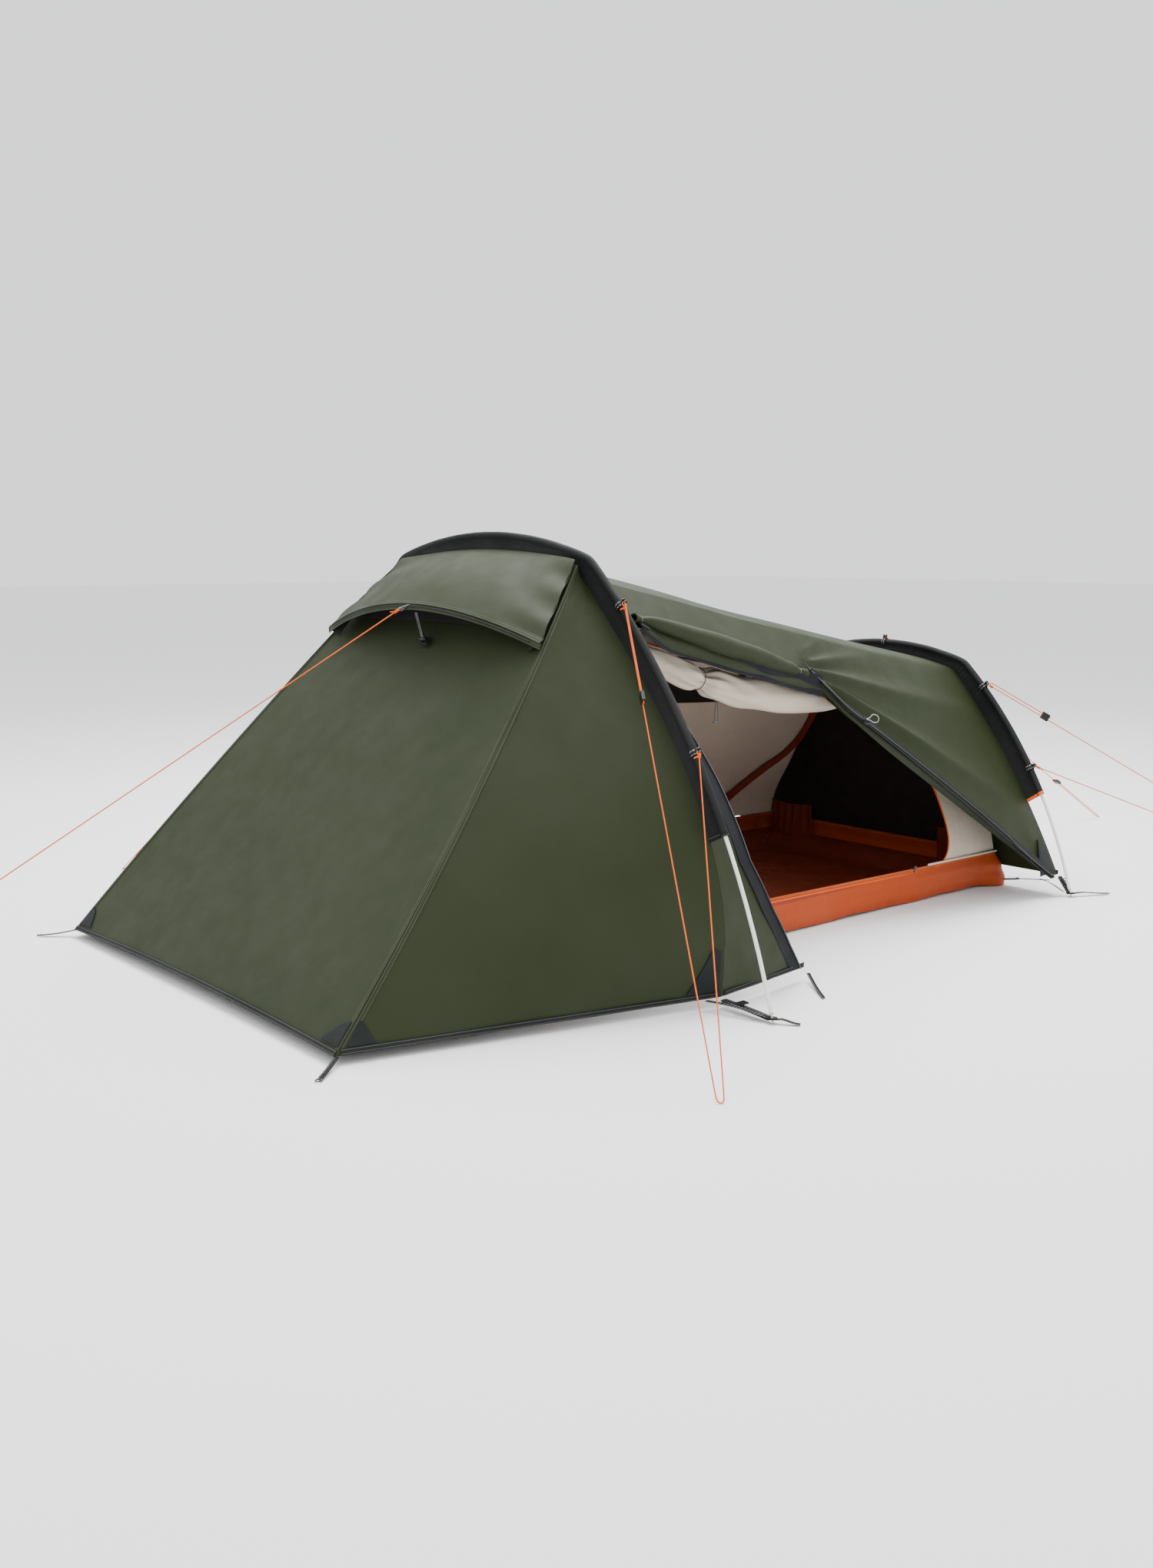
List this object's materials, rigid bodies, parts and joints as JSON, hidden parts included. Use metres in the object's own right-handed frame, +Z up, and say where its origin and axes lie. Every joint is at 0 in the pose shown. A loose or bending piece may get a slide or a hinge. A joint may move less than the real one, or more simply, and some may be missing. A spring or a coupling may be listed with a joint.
{
  "type": "two-hoop tunnel tent",
  "caption": "Low tunnel tent on two bent poles, with a sloping nose, side door rolled open, cream inner with orange tub floor, and guy lines.",
  "frame": {"origin": "on the ground, midway between the ends of the nose loops and the ends of the rear foot tails, on the tent's centre line", "axes": "+Z up, +Y to the rear (the low end), +X to the side with the open door"},
  "size_m": [2.8381, 4.94, 1.1018],
  "materials": {
    "fibreglass": "pale glass-fibre rod, satin gloss",
    "elastic_cord": "braided elastic",
    "ferrule_metal": "drawn metal",
    "sleeve_cloth": "black polyester, plain weave",
    "orange_tape": "woven tape",
    "fly_cloth": "coated olive green polyester taffeta, slight sheen",
    "black_tape": "woven black tape",
    "patch_cloth": "slate oxford weave",
    "zip_black": "coil zip",
    "zip_slider": "enamelled zinc",
    "black_plastic": "moulded acetal",
    "wire_steel": "spring wire",
    "black_mesh": "fine black netting",
    "grommet_brass": "pressed eyelet",
    "tub_orange": "coated orange polyester",
    "inner_cream": "uncoated breathable cream polyester",
    "zip_maroon": "dark red-brown zip tape",
    "guy_orange": "braided orange cord"
  },
  "bodies": {
    "tent": {"corner_patches": "patch_cloth", "cross_straps": "black_tape", "door_toggles": "black_plastic", "door_zip_tracks": "zip_black", "foot_webbing": "black_tape", "front_centre_guy_line": "guy_orange", "front_left_guy_line": "guy_orange", "front_pole": "fibreglass", "front_right_guy_line": "guy_orange", "front_sleeve": "sleeve_cloth", "front_strips": "fly_cloth", "grommets": "grommet_brass", "guy_straps": "black_tape", "hem_binding": "black_tape", "inner_door_roll": "inner_cream", "inner_front_end": "inner_cream", "inner_rear_mesh": "black_mesh", "inner_roof": "inner_cream", "inner_ties": "black_plastic", "inner_tub": "tub_orange", "inner_wall_left": "inner_cream", "inner_wall_right": "inner_cream", "inner_zip_bands": "zip_maroon", "ladder_buckles": "black_plastic", "left_door": "fly_cloth", "mesh_pockets": "black_mesh", "nose_front_panel": "fly_cloth", "nose_side_left": "fly_cloth", "nose_side_right": "fly_cloth", "pole_ferrules": "ferrule_metal", "pole_tips": "ferrule_metal", "rear_centre_guy_line": "guy_orange", "rear_end_panel": "fly_cloth", "rear_left_guy_line": "guy_orange", "rear_pole": "fibreglass", "rear_right_guy_line": "guy_orange", "rear_sleeve": "sleeve_cloth", "rear_sleeve_trim": "orange_tape", "rolled_door": "fly_cloth", "roof_panel": "fly_cloth", "shock_cords": "elastic_cord", "side_panel_left": "fly_cloth", "side_panel_right": "fly_cloth", "tie_outs": "black_tape", "vent_hood": "fly_cloth", "vent_mesh": "black_mesh", "vent_rim_wire": "wire_steel", "vent_strut_mount": "black_plastic"},
    "right_door_zip": {"right_door_zip_slider": "zip_slider"},
    "left_door_zip": {"left_door_zip_slider": "zip_slider"},
    "inner_right_zip": {"inner_zip_slider_right": "zip_slider"},
    "inner_left_zip": {"inner_zip_slider_left": "zip_slider"},
    "strut": {"vent_strut": "black_plastic"},
    "spare_toggle": {"hanging_toggle": "black_plastic"},
    "front_right_slider": {"front_right_guy_slider": "black_plastic"},
    "front_left_slider": {"front_left_guy_slider": "black_plastic"},
    "rear_right_slider": {"rear_right_guy_slider": "black_plastic"},
    "rear_left_slider": {"rear_left_guy_slider": "black_plastic"},
    "front_centre_slider": {"front_centre_guy_slider": "black_plastic"},
    "rear_centre_slider": {"rear_centre_guy_slider": "black_plastic"}
  },
  "joints": [
    {"name": "right_door_zip_run", "type": "hinge", "parent": "tent", "child": "right_door_zip", "pos_m": [-4.13089, 1.50867, -0.13744], "axis": [0, 0.58, 0.8146], "range_deg": [0, 7.4]},
    {"name": "left_door_zip_run", "type": "hinge", "parent": "tent", "child": "left_door_zip", "pos_m": [4.13089, 1.50867, -0.13744], "axis": [0, 0.58, 0.8146], "range_deg": [0, 7.4]},
    {"name": "inner_right_zip_slide", "type": "slide", "parent": "tent", "child": "inner_right_zip", "axis": [0.0351, -0.9994, 0.0022], "range_m": [0, 0.8]},
    {"name": "inner_left_zip_slide", "type": "slide", "parent": "tent", "child": "inner_left_zip", "axis": [-0.0351, -0.9994, 0.0022], "range_m": [0, 0.8]},
    {"name": "vent_strut_fold", "type": "hinge", "parent": "tent", "child": "strut", "pos_m": [0, -0.601, 0.82337], "axis": [1, 0, 0], "range_deg": [0, 90]},
    {"name": "spare_toggle_swing", "type": "hinge", "parent": "tent", "child": "spare_toggle", "pos_m": [0.3, 0.175, 0.6408], "axis": [0, 1, 0], "range_deg": [-50, 50]},
    {"name": "front_right_guy_slide", "type": "slide", "parent": "tent", "child": "front_right_slider", "axis": [-0.6137, 0.3475, 0.709], "range_m": [0, 0.12]},
    {"name": "front_left_guy_slide", "type": "slide", "parent": "tent", "child": "front_left_slider", "axis": [0.6664, 0.3246, 0.6713], "range_m": [0, 0.12]},
    {"name": "rear_right_guy_slide", "type": "slide", "parent": "tent", "child": "rear_right_slider", "axis": [-0.4575, -0.7394, 0.4939], "range_m": [0, 0.12]},
    {"name": "rear_left_guy_slide", "type": "slide", "parent": "tent", "child": "rear_left_slider", "axis": [0.4575, -0.7394, 0.4939], "range_m": [0, 0.12]},
    {"name": "front_centre_guy_slide", "type": "slide", "parent": "tent", "child": "front_centre_slider", "axis": [0, -0.8803, -0.4744], "range_m": [0, 0.19]},
    {"name": "rear_centre_guy_slide", "type": "slide", "parent": "tent", "child": "rear_centre_slider", "axis": [0, 0.8685, -0.4958], "range_m": [0, 0.19]}
  ]
}
